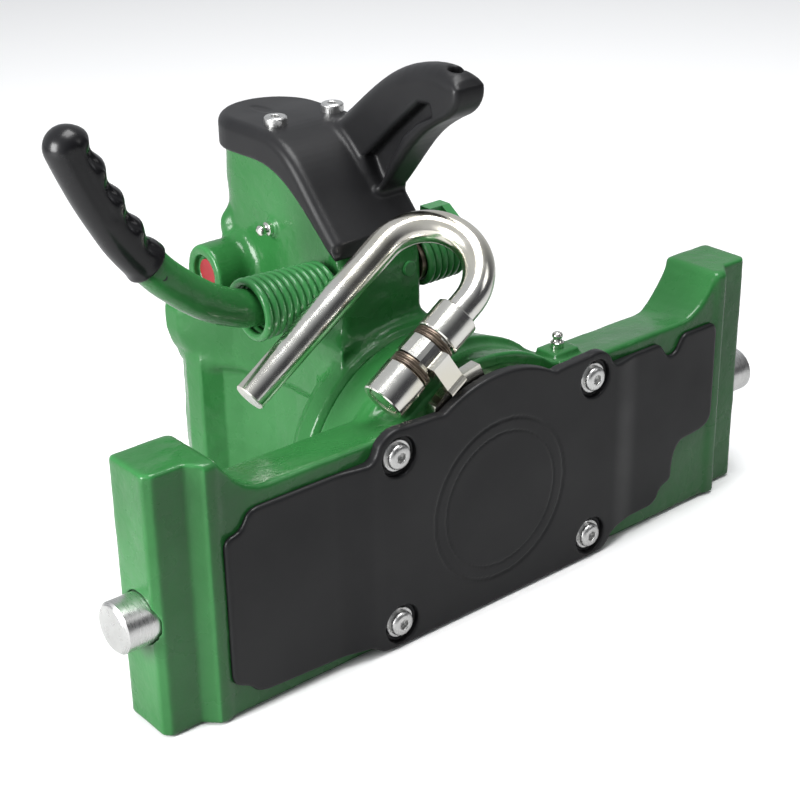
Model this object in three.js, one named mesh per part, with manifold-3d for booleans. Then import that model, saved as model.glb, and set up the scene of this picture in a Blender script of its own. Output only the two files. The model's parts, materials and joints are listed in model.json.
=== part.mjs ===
// A height-adjustable trailer coupling: a slide plate with sprung locking pins, and an
// automatic coupling head that rolls on a neck in the plate.
// Millimetres. +X across the plate, +Y from the tractor towards the trailer, +Z up.
// The origin is at mid-width, in the front plane of the guide bars, at the underside.

import * as THREE from "three";
import { mergeVertices } from "three/addons/utils/BufferGeometryUtils.js";
import Module from "manifold-3d";

const wasm = await Module();
wasm.setup();

// ---------------------------------------------------------------- driving dimensions
const gap = 0.3; // running or fitting gap between neighbouring pieces

const plate = { halfWidth: 250, barHeight: 172, barInner: 211, barBack: 40, front: -8, back: 38, top: 147.5 };
const rollAxisZ = 76; // height of the roll axis, the disc centre and the locking pins
const collar = { radius: 88, back: 70 };

const lockPin = { radius: 16.2, y: 18.5, inner: 67, protrusion: 20, studRadius: 5, studAt: 74 };
const disc = { radius: 86.7, bore: 41.4, front: -7.2, back: 0.4, turn: 40, slotRun: 20 };
const recess = { radius: 89, floor: 1, lip: 3 };

const cover = { front: -15.5, wingFront: -11.4, back: -8.3, screwX: 84, screwRise: 59 };

const neck = { radius: 28, thread: 24, bush: 32, nutRadius: 34 };
const head = { flangeFront: 72, flangeBack: 92, floor: 1, ledge: 118, shoulder: 166 };
const tower = { left: -46, right: 21, front: 84, backCentre: 198 };
const pin = { x: -12, y: 191, radius: 19, bottom: 14, collar: 171, top: 180 };
const indicator = { y: 200, z: 189, radius: 9.2, boss: 19 };
const towerNipplePlace = [-48.5, 158, 226];
const throat = { low: 50, high: 102, back: 140 };

const lever = { y: 100, z: 201.6, shaftRadius: 9.5, tubeRadius: 11.1, springRadius: 16.3, gripRadius: 13.6 };
const hood = { left: -50, right: 26, roof: 291, armLeft: 0, armRight: 25 };

const barrel = { x: -78, y: 8, z: 160.9, tilt: 33.65, radius: 14.6, length: 74 };
const rod = { radius: 10.4, bend: 34, loopGap: 9.5, leg: 130, foldedBack: 64 };

// ------------------------------------------------------------------------ materials
const finish = (color, roughness, metalness) =>
  new THREE.MeshStandardMaterial({ color, roughness, metalness });
const castGreen = finish(0x1f7a3a, 0.35, 0.1);
const mouldedBlack = finish(0x1b1b1c, 0.6, 0);
const gripBlack = finish(0x101012, 0.3, 0);
const zinc = finish(0xcfc8b4, 0.3, 0.9);
const steel = finish(0xb9babb, 0.35, 0.9);
const springSteel = finish(0x4a4038, 0.4, 0.8);
const bronze = finish(0xa8793a, 0.4, 0.9);
const signalRed = finish(0xb3202a, 0.4, 0);

// -------------------------------------------------------------------------- helpers
const rad = THREE.MathUtils.degToRad;

// Turns a closed three.js geometry into a manifold solid with outward faces.
function toSolid(geometry) {
  geometry.deleteAttribute("normal");
  geometry.deleteAttribute("uv");
  const merged = mergeVertices(geometry, 1e-4);
  const points = merged.attributes.position;
  const corner = [new THREE.Vector3(), new THREE.Vector3(), new THREE.Vector3()];
  const triangles = [];
  let volume = 0;
  for (let i = 0; i < merged.index.count; i += 3) {
    const ids = [0, 1, 2].map((k) => merged.index.getX(i + k));
    if (new Set(ids).size < 3) continue;
    triangles.push(ids);
    ids.forEach((id, k) => corner[k].fromBufferAttribute(points, id));
    volume += corner[0].dot(corner[1].clone().cross(corner[2]));
  }
  const outward = volume < 0 ? triangles.map(([a, b, c]) => [a, c, b]) : triangles;
  const mesh = new wasm.Mesh({
    numProp: 3,
    vertProperties: new Float32Array(points.array),
    triVerts: new Uint32Array(outward.flat()),
  });
  return new wasm.Manifold(mesh);
}

function toGeometry(solid) {
  const mesh = solid.getMesh();
  const geometry = new THREE.BufferGeometry();
  geometry.setAttribute("position", new THREE.BufferAttribute(mesh.vertProperties, 3));
  geometry.setIndex(new THREE.BufferAttribute(mesh.triVerts, 1));
  geometry.computeVertexNormals();
  return geometry;
}

const join = (solids) => solids.reduce((whole, solid) => whole.add(solid));
const cut = (solid, ...tools) => tools.reduce((rest, tool) => rest.subtract(tool), solid);
const bothSides = (make) => join([-1, 1].map(make));

function block([x0, x1], [y0, y1], [z0, z1]) {
  const geometry = new THREE.BoxGeometry(x1 - x0, y1 - y0, z1 - z0);
  return toSolid(geometry.translate((x0 + x1) / 2, (y0 + y1) / 2, (z0 + z1) / 2));
}

// Axes as columns: the drawn u, v and depth directions in the part's frame.
const drawnOn = {
  xy: new THREE.Matrix4(),
  xz: new THREE.Matrix4().makeBasis(
    new THREE.Vector3(1, 0, 0),
    new THREE.Vector3(0, 0, 1),
    new THREE.Vector3(0, 1, 0),
  ),
  yz: new THREE.Matrix4().makeBasis(
    new THREE.Vector3(0, 1, 0),
    new THREE.Vector3(0, 0, 1),
    new THREE.Vector3(1, 0, 0),
  ),
};

// Outline points without doubled points or points in the middle of a straight edge.
function corners(outline, curveSegments) {
  const raw = Array.isArray(outline)
    ? outline.map(([u, v]) => new THREE.Vector2(u, v))
    : outline.getPoints(curveSegments);
  const apart = raw.filter((point, i) => point.distanceTo(raw[(i + 1) % raw.length]) > 0.05);
  return apart.filter((point, i) => {
    const before = apart[(i + apart.length - 1) % apart.length];
    const after = apart[(i + 1) % apart.length];
    const arriving = new THREE.Vector2().subVectors(point, before);
    const leaving = new THREE.Vector2().subVectors(after, point);
    return Math.abs(arriving.cross(leaving)) > 1e-3;
  });
}

// Extrudes an outline drawn on a plane, from one depth to another.
function prism(plane, outline, [from, to], curveSegments = 10) {
  const shape = new THREE.Shape(corners(outline, curveSegments));
  const geometry = new THREE.ExtrudeGeometry(shape, { depth: to - from, bevelEnabled: false, curveSegments });
  return toSolid(geometry.translate(0, 0, from).applyMatrix4(drawnOn[plane]));
}

const axisTurn = {
  x: new THREE.Matrix4().makeRotationZ(-Math.PI / 2),
  y: new THREE.Matrix4(),
  z: new THREE.Matrix4().makeRotationX(Math.PI / 2),
};

// Revolves [radius, distance along the axis] points about an axis through a place.
function turned(axis, profile, [x, y, z] = [0, 0, 0], sides = 28) {
  const points = [...profile, profile[0]].map(([r, along]) => new THREE.Vector2(r, along));
  const geometry = new THREE.LatheGeometry(points, sides);
  return toSolid(geometry.applyMatrix4(axisTurn[axis]).translate(x, y, z));
}

const rodAlong = (axis, radius, [from, to], place, sides) =>
  turned(axis, [[0, from], [radius, from], [radius, to], [0, to]], place, sides);
const tubeAlong = (axis, [inner, outer], [from, to], place, sides) =>
  turned(axis, [[inner, from], [outer, from], [outer, to], [inner, to]], place, sides);

function sweep(curve, radius, steps, sides) {
  const shape = new THREE.Shape().absarc(0, 0, radius, 0, 2 * Math.PI);
  const options = { extrudePath: curve, steps, curveSegments: sides, bevelEnabled: false };
  return toSolid(new THREE.ExtrudeGeometry(shape, options));
}

// A close-wound coil about the local X axis.
class Coil extends THREE.Curve {
  constructor(radius, [from, to], turns) {
    super();
    Object.assign(this, { radius, from, to, turns });
  }
  getPoint(t, target = new THREE.Vector3()) {
    const angle = 2 * Math.PI * this.turns * t;
    const along = this.from + (this.to - this.from) * t;
    return target.set(along, this.radius * Math.cos(angle), this.radius * Math.sin(angle));
  }
}

function coilSpring(radius, wire, [from, to], turns, stepsPerTurn = 9, sides = 3) {
  const line = new Coil(radius, [from + wire, to - wire], turns);
  return sweep(line, wire, Math.round(turns * stepsPerTurn), sides);
}

function addPart(group, name, solid, material) {
  const mesh = new THREE.Mesh(toGeometry(solid), material);
  mesh.name = name;
  group.add(mesh);
  return mesh;
}

// -------------------------------------------------------------------- carrier pieces
const rollAxis = [0, 0, rollAxisZ];
const screwPlaces = [-1, 1].flatMap((sx) =>
  [-1, 1].map((sz) => [sx * cover.screwX, 0, rollAxisZ + sz * cover.screwRise]));
const screwNames = ["lower_left", "upper_left", "lower_right", "upper_right"];

function plateOutline() {
  const { halfWidth, barHeight, barInner, top } = plate;
  const domeRadius = 96;
  const domeStart = rad(56);
  const domeEnd = [domeRadius * Math.cos(domeStart), rollAxisZ + domeRadius * Math.sin(domeStart)];
  const shape = new THREE.Shape();
  shape.moveTo(-halfWidth, 0);
  shape.lineTo(halfWidth, 0);
  shape.lineTo(halfWidth, barHeight);
  shape.lineTo(barInner, barHeight);
  shape.bezierCurveTo(204, 168, 198, top + 1, 176, top);
  shape.lineTo(84, top);
  shape.quadraticCurveTo(62, top, ...domeEnd);
  shape.absarc(0, rollAxisZ, domeRadius, domeStart, Math.PI - domeStart, false);
  shape.quadraticCurveTo(-62, top, -84, top);
  shape.lineTo(-176, top);
  shape.bezierCurveTo(-198, top + 1, -204, 168, -barInner, barHeight);
  shape.lineTo(-halfWidth, barHeight);
  return shape;
}

function slidePlate() {
  const { halfWidth, barHeight, barInner, barBack, front, back, top } = plate;
  const body = prism("xz", plateOutline(), [front, back], 14);
  const bars = bothSides((side) =>
    block([side * barInner, side * halfWidth].sort((a, b) => a - b), [front, barBack], [0, barHeight]));
  const collarProfile = [
    [30, back - 6], [96, back - 6], [94, back], [89.5, back + 14],
    [collar.radius, collar.back], [30, collar.back],
  ];
  const aboveFloor = block([-halfWidth, halfWidth], [0, 100], [0, 200]);
  const rearCollar = turned("y", collarProfile, rollAxis, 56).intersect(aboveFloor);
  const spigotSpan = [front + 1, recess.floor + 2];
  const spigot = tubeAlong("y", [neck.bush + 4.5, disc.bore - 0.4], spigotSpan, rollAxis, 40);

  const stepOutline = [
    [219, front - 1], [226.5, 0], [246.4, 0], [halfWidth + 0.1, 3.7], [252, 3.7], [252, front - 1],
  ];
  const barStep = bothSides((side) =>
    prism("xy", stepOutline.map(([x, y]) => [side * x, y]), [-1, barHeight + 1]));
  const topFall = bothSides((side) =>
    prism("yz", [[front, top], [back + 0.5, top - 8.5], [back + 0.5, top + 0.2], [front, top + 0.2]],
      [side * 100, side * 176].sort((a, b) => a - b)));
  const discRecess = join([
    rodAlong("y", recess.radius, [front - 1, recess.floor], rollAxis, 56),
    block([-66, 66], [front - 1, recess.floor], [rollAxisZ + 50, 180]),
  ]).intersect(block([-100, 100], [front - 2, 20], [recess.lip, 200]));
  const neckBore = rodAlong("y", neck.bush + gap, [-20, collar.back + 1], rollAxis, 40);
  const nutRecess = rodAlong("y", neck.bush + 4.5, [-20, 20], rollAxis, 40);
  const pinChannels = bothSides((side) =>
    rodAlong("x", lockPin.radius + gap, [side * 42, side * (halfWidth + 1)], [0, lockPin.y, rollAxisZ], 32));
  const studWindows = bothSides((side) =>
    block([side * 46, side * 84].sort((a, b) => a - b), [-2, lockPin.y], [rollAxisZ - 6, rollAxisZ + 6]));
  const screwHoles = join(screwPlaces.map((place) => rodAlong("y", 5.2, [front - 1, 24], place, 16)));
  const nipplePad = block([66, 90], [6, 24], [140, 150]);
  const nippleHole = rodAlong("z", 3.3, [138, 160], [78, 15, 0], 12);
  return cut(join([cut(join([body, rearCollar, bars]), discRecess), spigot, nipplePad]),
    topFall, barStep, neckBore, nutRecess, pinChannels, studWindows, screwHoles, nippleHole);
}

function coverOutline() {
  const domeRadius = 89;
  const domeStart = rad(58);
  const points = new THREE.Path();
  points.moveTo(210, 131);
  points.quadraticCurveTo(209, 139, 203, 139);
  points.lineTo(179, 139);
  points.bezierCurveTo(171, 139, 173, 127, 163, 127);
  points.bezierCurveTo(156, 127, 156, 139, 147, 139);
  points.lineTo(108, 139);
  points.quadraticCurveTo(102, 139, 99.5, 145.9);
  points.absarc(cover.screwX, rollAxisZ + cover.screwRise, 19, rad(35), rad(106), false);
  points.lineTo(56, 152.5);
  points.absarc(0, rollAxisZ, domeRadius, domeStart, Math.PI - domeStart, false);
  points.lineTo(-56, 152.5);
  points.absarc(-cover.screwX, rollAxisZ + cover.screwRise, 19, rad(74), rad(145), false);
  points.quadraticCurveTo(-102, 137, -108, 136.5);
  points.lineTo(-186, 136.5);
  points.bezierCurveTo(-196, 136.5, -194, 125, -202, 124);
  points.quadraticCurveTo(-209.5, 123, -209.5, 117);
  points.lineTo(-209.5, 31);
  points.bezierCurveTo(-209.5, 20, -199, 23, -195, 16);
  points.quadraticCurveTo(-192, 11.5, -180, 11);
  points.lineTo(-112, 8);
  points.quadraticCurveTo(-106, 8, -102, 4);
  points.quadraticCurveTo(-99, 0.8, -92, 0.8);
  points.lineTo(92, 0.8);
  points.quadraticCurveTo(99, 0.8, 103, 7);
  points.quadraticCurveTo(107, 13, 114, 13);
  points.lineTo(148, 14);
  points.quadraticCurveTo(155, 15, 157, 21);
  points.quadraticCurveTo(159, 26, 165, 27);
  points.quadraticCurveTo(170, 28, 170, 33);
  points.quadraticCurveTo(170, 56, 182, 57);
  points.bezierCurveTo(200, 58, 210, 58, 210, 72);
  return points;
}

function frontCover() {
  const { front, wingFront, back } = cover;
  const stations = [
    [-212, wingFront], [-129, wingFront], [-106, front], [106, front], [129, wingFront], [212, wingFront],
  ];
  const thickness = prism("xy", [[-212, back], ...stations, [212, back]], [-1, 180]);
  const body = prism("xz", coverOutline(), [front - 1, back], 6).intersect(thickness);
  const seats = join(screwPlaces.map((place) => rodAlong("y", 13.5, [front - 1, -11], place, 24)));
  const holes = join(screwPlaces.map((place) => rodAlong("y", 5.6, [front - 1, 0], place, 16)));
  return cut(body, seats, holes);
}

function socketScrew(axis, { shank, shankEnd, headRadius, headBack, headFront }) {
  const profile = [
    [0, shankEnd], [shank, shankEnd], [shank, headBack], [headRadius, headBack],
    [headRadius, headBack + (headFront - headBack) * 0.45], [headRadius * 0.6, headFront], [0, headFront],
  ];
  const socketSpan = [headFront * 2 - headBack, (headBack + headFront) / 2];
  const socket = rodAlong(axis, headRadius * 0.36, socketSpan, [0, 0, 0], 6);
  return turned(axis, profile, [0, 0, 0], 14).subtract(socket);
}

function greaseNipple(shank) {
  const profile = [
    [0, -7], [shank, -7], [shank, 0.4], [4.6, 0.4], [4.6, 4.2], [2.8, 5.2], [2.8, 7.4],
    [3.6, 8.4], [3.6, 9.8], [2.2, 12], [0, 12],
  ];
  return turned("z", profile, [0, 0, 0], 10);
}

// ----------------------------------------------------------------------- head pieces
const hoodScrewPlaces = [[-32, 169], [15, 169]];

// The jaw is drawn about the coupling pin. Its sides run back from the neck and then spread.
function jawBody() {
  const mirrored = (half) =>
    [...half, ...half.toReversed().map(([x, y]) => [-x, y])].map(([x, y]) => [pin.x + x, y]);
  const lowerPlan = [[36, 80], [36, 138], [39, 160], [47, 186], [54, 198], [68, 206], [69, 222], [62, 238]];
  const upperPlan = [[40, 80], [40, 140], [44, 162], [52, 186], [62, 200], [76, 220], [77, 234], [70, 240]];
  const lower = prism("xy", mirrored(lowerPlan), [head.floor, head.ledge + 6]);
  const shoulderSection = [
    [-78, head.ledge + 10], [-69, head.ledge], [69, head.ledge], [78, head.ledge + 10],
    [78, head.shoulder - 10], [70, head.shoulder], [-70, head.shoulder], [-78, head.shoulder - 10],
  ].map(([x, z]) => [pin.x + x, z]);
  const upper = prism("xy", mirrored(upperPlan), [head.ledge - 5, head.shoulder + 2])
    .intersect(prism("xz", shoulderSection, [80, 241]));
  const rise = [
    [throat.back, throat.low], [throat.back, throat.high], [205, throat.high + 1],
    [242, 113], [242, 34], [205, 47],
  ];
  const spread = mirrored([[28, throat.back], [32, 160], [40, 186], [60, 242]]);
  const mouth = prism("yz", rise, [-90, 90]).intersect(prism("xy", spread, [0, 160]));
  return join([lower, upper]).subtract(mouth);
}

function towerPlan(grow = 0) {
  const left = tower.left - grow;
  const right = tower.right + grow;
  const shape = new THREE.Shape();
  shape.moveTo(left, tower.front - grow);
  shape.lineTo(right, tower.front - grow);
  shape.lineTo(right, tower.backCentre);
  shape.absarc((left + right) / 2, tower.backCentre, (right - left) / 2, 0, Math.PI, false);
  return shape;
}

// Side view of the tower, grown outward to make the inside of the hood.
const towerSide = (grow) => [
  [84 - grow, 150], [84 - grow, 208], [90 - grow, 222 + grow], [104 - grow, 240 + grow],
  [122 - grow, 260 + grow], [140 - grow, 274 + grow], [158 - grow, 281 + grow],
  [240 + grow, 281 + grow], [240 + grow, 150],
];

function headHousing() {
  const flangeProfile = [
    [0, head.flangeFront], [collar.radius - 3, head.flangeFront], [collar.radius, head.flangeFront + 3],
    [collar.radius, head.flangeBack - 6], [80, head.flangeBack + 10], [0, head.flangeBack + 10],
  ];
  const floorSide = block([-110, 110], [60, 300], [head.floor, 400]);
  const flange = turned("y", flangeProfile, rollAxis, 56).intersect(floorSide);
  const neckProfile = [
    [0, -6], [neck.thread, -6], [neck.thread, 20], [neck.radius, 20], [neck.radius, 80], [0, 80],
  ];
  const shaft = turned("y", neckProfile, rollAxis, 40);
  const body = prism("xy", towerPlan(), [120, 300], 20).intersect(prism("yz", towerSide(0), [-60, 60]));
  const bossPlace = [0, indicator.y, indicator.z];
  const boss = rodAlong("x", indicator.boss, [-76, -30], bossPlace, 32);
  const nippleBoss = rodAlong("x", 7, [-48, -42], [0, 158, 226], 16);

  const cavity = join([
    block([-30, 10], [86.7, 150], [154, 300]),
    block([pin.x - 28.5, pin.x + 28.5], [140, 222], [146, 300]),
  ]);
  const pinBore = rodAlong("z", pin.radius + 5.3, [head.floor - 1, 160], [pin.x, pin.y, 0], 32);
  const shaftBore = rodAlong("x", lever.shaftRadius + gap, [-60, 60], [0, lever.y, lever.z], 24);
  const indicatorBore = rodAlong("x", indicator.radius + 0.4, [-80, -20], bossPlace, 20);
  const nippleHole = rodAlong("x", 3.3, [-60, -38], [0, 158, 226], 12);
  return cut(join([flange, shaft, jawBody(), body, boss, nippleBoss]),
    cavity, pinBore, shaftBore, indicatorBore, nippleHole);
}

// The beam at the right of the hood that holds the pull rope's sheath in its slotted end.
function hoodArm() {
  const arm = new THREE.Shape();
  arm.moveTo(156, hood.roof - 3);
  arm.bezierCurveTo(130, 306, 108, 330, 80, 340);
  arm.bezierCurveTo(58, 347, 34, 348, 28, 335);
  arm.quadraticCurveTo(26, 323, 38, 315);
  arm.bezierCurveTo(72, 298, 74, 286, 104.6, 251.8);
  arm.lineTo(150, 272);
  const { armLeft, armRight } = hood;
  const beam = prism("yz", arm, [armLeft, armRight], 8);
  const web = [
    [118, 275], [90, 298.5], [63, 321], [54, 321], [54, 316], [66, 309.5], [79, 299], [91, 282], [101, 265],
    [106, 259], [112, 263],
  ];
  const webDepth = 9;
  const webCuts = [[armLeft - 1, armLeft + webDepth], [armRight - webDepth, armRight + 1]]
    .map((span) => prism("yz", web, span));
  const slotY = 42;
  const middle = (armLeft + armRight) / 2;
  const keyhole = join([
    rodAlong("z", 4.5, [300, 360], [middle, slotY, 0], 16),
    block([middle, armRight + 5], [slotY - 2.2, slotY + 2.2], [300, 360]),
  ]);
  return cut(beam, ...webCuts, keyhole);
}

function hoodShell() {
  const { left, right, roof } = hood;
  const side = [
    [87, 222], [87, 233], [104, 251], [122, 271], [140, 284], [160, roof], [224, roof], [234, roof - 4],
    [238, 280],
    [238, 270], [176, 270], [155, 271], [141, 266], [129, 258], [114, 244], [95, 227],
  ];
  const middle = (left + right) / 2;
  const plan = new THREE.Shape();
  plan.moveTo(left, 80);
  plan.lineTo(right, 80);
  plan.lineTo(right, tower.backCentre);
  plan.absarc(middle, tower.backCentre, (right - left) / 2, 0, Math.PI, false);
  const shell = prism("yz", side, [left, right]).intersect(prism("xy", plan, [200, 300], 24));
  const inside = prism("xy", towerPlan(0.7), [150, 300], 20)
    .intersect(prism("yz", towerSide(0.7), [-60, 60]));
  const screwHoles = hoodScrewPlaces.map(([x, y]) => rodAlong("z", 4.2, [270, 300], [x, y, 0], 12));
  return cut(join([shell, hoodArm()]), inside, ...screwHoles);
}

// ---------------------------------------------------------------------- lever pieces
// The centre line of the bent lever, or the stretch of it between two fractions.
function leverCurve(from = 0, to = 1) {
  const bends = [
    [-47, 0], [-80, 0], [-106, 0.8], [-119, 4.6], [-136.5, 12.5], [-152.3, 24], [-165.2, 35], [-172.5, 42.2],
    [-191.4, 64.3], [-202.2, 83.2], [-211.4, 100.4], [-220.1, 120], [-224.5, 131], [-228.5, 141.5],
  ];
  const whole = new THREE.CatmullRomCurve3(bends.map(([x, z]) => new THREE.Vector3(x, 0, z)));
  const samples = 24;
  const at = (i) => whole.getPointAt(from + ((to - from) * i) / samples);
  const stretch = Array.from({ length: samples + 1 }, (_, i) => at(i));
  return new THREE.CatmullRomCurve3(stretch);
}

function leverGrip() {
  const sleeve = sweep(leverCurve(0.585, 1), lever.gripRadius, 18, 7);
  const socket = sweep(leverCurve(0.57, 0.94), lever.tubeRadius + 0.6, 18, 6);
  return sleeve.subtract(socket);
}

function liftFork() {
  const hub = rodAlong("x", 13, [-14, 6], [0, 0, 0], 24);
  const web = block([-14, 6], [8, 64], [-9, 3]);
  const bridge = block([pin.x - 28, pin.x + 28], [56, 64], [-11, -1]);
  const prongs = [[pin.x - 28, pin.x - 21.5], [pin.x + 21.5, pin.x + 28]]
    .map((across) => block(across, [56, 97], [-11, -1]));
  const bore = rodAlong("x", lever.shaftRadius + gap, [-20, 20], [0, 0, 0], 24);
  return join([hub, web, bridge, ...prongs]).subtract(bore);
}

// The rope pulls on the square bar at the crank's end.
function pullCrank() {
  const plan = [[-15, 0], [-9, 12], [12, 26], [22, 26], [22, 16], [15, -2], [8, -13], [-8, -13]];
  const bar = block([51, 69], [12, 22], [16, 26]);
  const bore = rodAlong("x", lever.shaftRadius + gap, [55, 80], [0, 0, 0], 24);
  return cut(prism("yz", plan, [62, 69]).add(bar), bore);
}

// --------------------------------------------------------------------- handle pieces
// The rod runs through the barrel along X, turns half a circle and comes back as the leg.
function handleRod() {
  const path = new THREE.CurvePath();
  const loopAt = barrel.length + rod.loopGap;
  const arcSteps = 12;
  const points = [1, loopAt / 2, loopAt].map((along) => new THREE.Vector3(along, 0, 0));
  for (let i = 1; i <= arcSteps; i += 1) {
    const angle = (Math.PI * i) / arcSteps;
    points.push(new THREE.Vector3(loopAt + rod.bend * Math.sin(angle), 0, rod.bend * (1 - Math.cos(angle))));
  }
  points.push(new THREE.Vector3(loopAt - rod.leg, 0, 2 * rod.bend));
  points.slice(1).forEach((end, i) => path.add(new THREE.LineCurve3(points[i], end)));
  return sweep(path, rod.radius, 36, 6);
}

// ------------------------------------------------------------------------ disc pieces
// Point on the disc that meets a locking-pin stud after the disc has turned by an angle.
function slotPoint(side, turned_, offset) {
  const angle = side * rad(90) - rad(turned_);
  const radius = lockPin.studAt - (disc.slotRun * turned_) / disc.turn + offset;
  return [radius * Math.sin(angle), radius * Math.cos(angle)];
}

function spiralSlot(side) {
  const halfWidth = 6;
  const overrun = 7;
  const steps = 10;
  const turnStep = (disc.turn + 2 * overrun) / steps;
  const turns = Array.from({ length: steps + 1 }, (_, i) => -overrun + turnStep * i);
  const outer = turns.map((t) => slotPoint(side, t, halfWidth));
  const inner = turns.toReversed().map((t) => slotPoint(side, t, -halfWidth));
  return prism("xz", [...outer, ...inner], [disc.front - 1, disc.back + 1]);
}

function heightDisc() {
  const ring = tubeAlong("y", [disc.bore, disc.radius], [disc.front, disc.back], [0, 0, 0], 56);
  const tongue = prism("xz", [[-52, 60], [-48, 78], [-30, 92], [-12, 96], [-7, 86], [-8, 60]],
    [disc.front, disc.back]);
  // Flats under the disc clear the recess lip over the whole turn.
  const flats = [0, 10, 20, 30, 40].map((turnedBy) => {
    const flat = new THREE.BoxGeometry(200, 40, 40).translate(0, 0, recess.lip + 0.6 - rollAxisZ - 20);
    return toSolid(flat.rotateY(-rad(turnedBy)));
  });
  const bore = rodAlong("y", disc.bore, [-20, 20], [0, 0, 0], 48);
  return cut(ring.add(tongue), spiralSlot(-1), spiralSlot(1), bore, ...flats);
}

// Knuckle fixed to the disc, with a flat strap in front of the tongue.
function hingeHub() {
  const knuckle = rodAlong("x", 14.7, [31.5, 45.5], [0, 0, 0], 28);
  const strap = block([31.5, 45.5], [-20.7, -15.5], [-20, 4]);
  const joinUp = block([31.5, 45.5], [-20.7, 0], [-6, 4]);
  const foot = rodAlong("x", 3.6, [31.5, 45.5], [0, -19, -19], 12);
  const bore = rodAlong("x", rod.radius + gap, [20, 60], [0, 0, 0], 28);
  return cut(join([knuckle, strap, joinUp, foot]), bore);
}

const hingeSleeve = (span) => tubeAlong("x", [rod.radius + gap, barrel.radius], span, [0, 0, 0], 28);

// -------------------------------------------------------------------------- assembly
const coupling = new THREE.Group();

const carrier = new THREE.Group();
coupling.add(carrier);
addPart(carrier, "slide_plate", slidePlate(), castGreen);
addPart(carrier, "front_cover", frontCover(), mouldedBlack);
const coverScrew = { shank: 4.8, shankEnd: 18, headRadius: 8.6, headBack: -13, headFront: -17.6 };
screwPlaces.forEach((place, i) => {
  const screw = addPart(carrier, `cover_screw_${screwNames[i]}`, socketScrew("y", coverScrew), steel);
  const washerRing = tubeAlong("y", [5.3, 10.4], [-12.8, -11.2], [0, 0, 0], 16);
  const washer = addPart(carrier, `cover_washer_${screwNames[i]}`, washerRing, steel);
  screw.position.set(...place);
  washer.position.set(...place);
});
const neckBush = tubeAlong("y", [neck.radius + gap, neck.bush], [20.5, 69], rollAxis, 40);
addPart(carrier, "neck_bush", neckBush, bronze);
const plateNipple = addPart(carrier, "plate_nipple", greaseNipple(3), zinc);
plateNipple.position.set(78, 15, 150);

const headGroup = new THREE.Group();
coupling.add(headGroup);
addPart(headGroup, "head_housing", headHousing(), castGreen);
const thrustWasher = tubeAlong("y", [neck.thread + gap, 35.5], [16, 19.5], rollAxis, 40);
addPart(headGroup, "thrust_washer", thrustWasher, steel);
const springStack = [[25, 9], [34, 12.5], [34, 15.5], [25, 12]];
addPart(headGroup, "friction_springs", turned("y", springStack, rollAxis, 40), springSteel);
const nutBlank = rodAlong("y", neck.nutRadius, [-4, 8.5], rollAxis, 6);
const nutBore = rodAlong("y", neck.thread + gap, [-5, 10], rollAxis, 32);
addPart(headGroup, "neck_nut", nutBlank.subtract(nutBore), steel);
addPart(headGroup, "hood", hoodShell(), mouldedBlack);
const hoodScrew = { shank: 3.8, shankEnd: -7, headRadius: 7.5, headBack: 0.3, headFront: 6 };
["left", "right"].forEach((name, i) => {
  const screw = addPart(headGroup, `hood_screw_${name}`, socketScrew("z", hoodScrew), steel);
  screw.position.set(...hoodScrewPlaces[i], hood.roof);
});
addPart(headGroup, "upper_pin_bush",
  tubeAlong("z", [pin.radius + gap, pin.radius + 5], [103, 145], [pin.x, pin.y, 0], 32), bronze);
addPart(headGroup, "lower_pin_bush",
  tubeAlong("z", [pin.radius + gap, pin.radius + 5], [4, 47], [pin.x, pin.y, 0], 32), bronze);
const towerNipple = addPart(headGroup, "tower_nipple", greaseNipple(3), zinc);
towerNipple.position.set(...towerNipplePlace);
towerNipple.rotation.y = -Math.PI / 2;

const pinGroup = new THREE.Group();
pinGroup.position.set(pin.x, pin.y, 0);
headGroup.add(pinGroup);
const pinProfile = [
  [0, pin.bottom], [14, pin.bottom], [pin.radius, pin.bottom + 6], [pin.radius, pin.collar],
  [26, pin.collar], [26, pin.collar + 6], [16, pin.collar + 6], [16, pin.top], [0, pin.top],
];
addPart(pinGroup, "coupling_pin", turned("z", pinProfile, [0, 0, 0], 32), steel);

const indicatorGroup = new THREE.Group();
indicatorGroup.position.set(0, indicator.y, indicator.z);
headGroup.add(indicatorGroup);
const indicatorRod = rodAlong("x", indicator.radius, [-72, -42], [0, 0, 0], 20);
addPart(indicatorGroup, "indicator_pin", indicatorRod, signalRed);

const leverGroup = new THREE.Group();
leverGroup.position.set(0, lever.y, lever.z);
headGroup.add(leverGroup);
addPart(leverGroup, "lever_shaft", rodAlong("x", lever.shaftRadius, [-46.7, 70], [0, 0, 0], 24), steel);
addPart(leverGroup, "lever_tube", sweep(leverCurve(0, 0.93), lever.tubeRadius, 28, 6), castGreen);
addPart(leverGroup, "lever_grip", leverGrip(), gripBlack);
const fork = addPart(leverGroup, "lift_fork", liftFork(), steel);
fork.rotation.x = rad(-27);
const leftCoil = coilSpring(lever.springRadius, 2.35, [-109, -50.5], 11);
const rightCoil = coilSpring(lever.springRadius, 2.45, [23.5, 61], 6.6);
addPart(leverGroup, "left_return_spring", leftCoil, castGreen);
addPart(leverGroup, "right_return_spring", rightCoil, castGreen);
addPart(leverGroup, "pull_crank", pullCrank(), castGreen);
const capProfile = [[0, 70.4], [14, 70.4], [14, 73], [8, 76], [0, 76]];
addPart(leverGroup, "shaft_cap", turned("x", capProfile, [0, 0, 0], 20), mouldedBlack);

const discGroup = new THREE.Group();
discGroup.position.set(0, 0, rollAxisZ);
carrier.add(discGroup);
addPart(discGroup, "height_disc", heightDisc(), zinc);

const barrelGroup = new THREE.Group();
barrelGroup.position.set(barrel.x, barrel.y, barrel.z - rollAxisZ);
barrelGroup.rotation.y = rad(-barrel.tilt);
discGroup.add(barrelGroup);
addPart(barrelGroup, "hinge_hub", hingeHub(), zinc);

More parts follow.
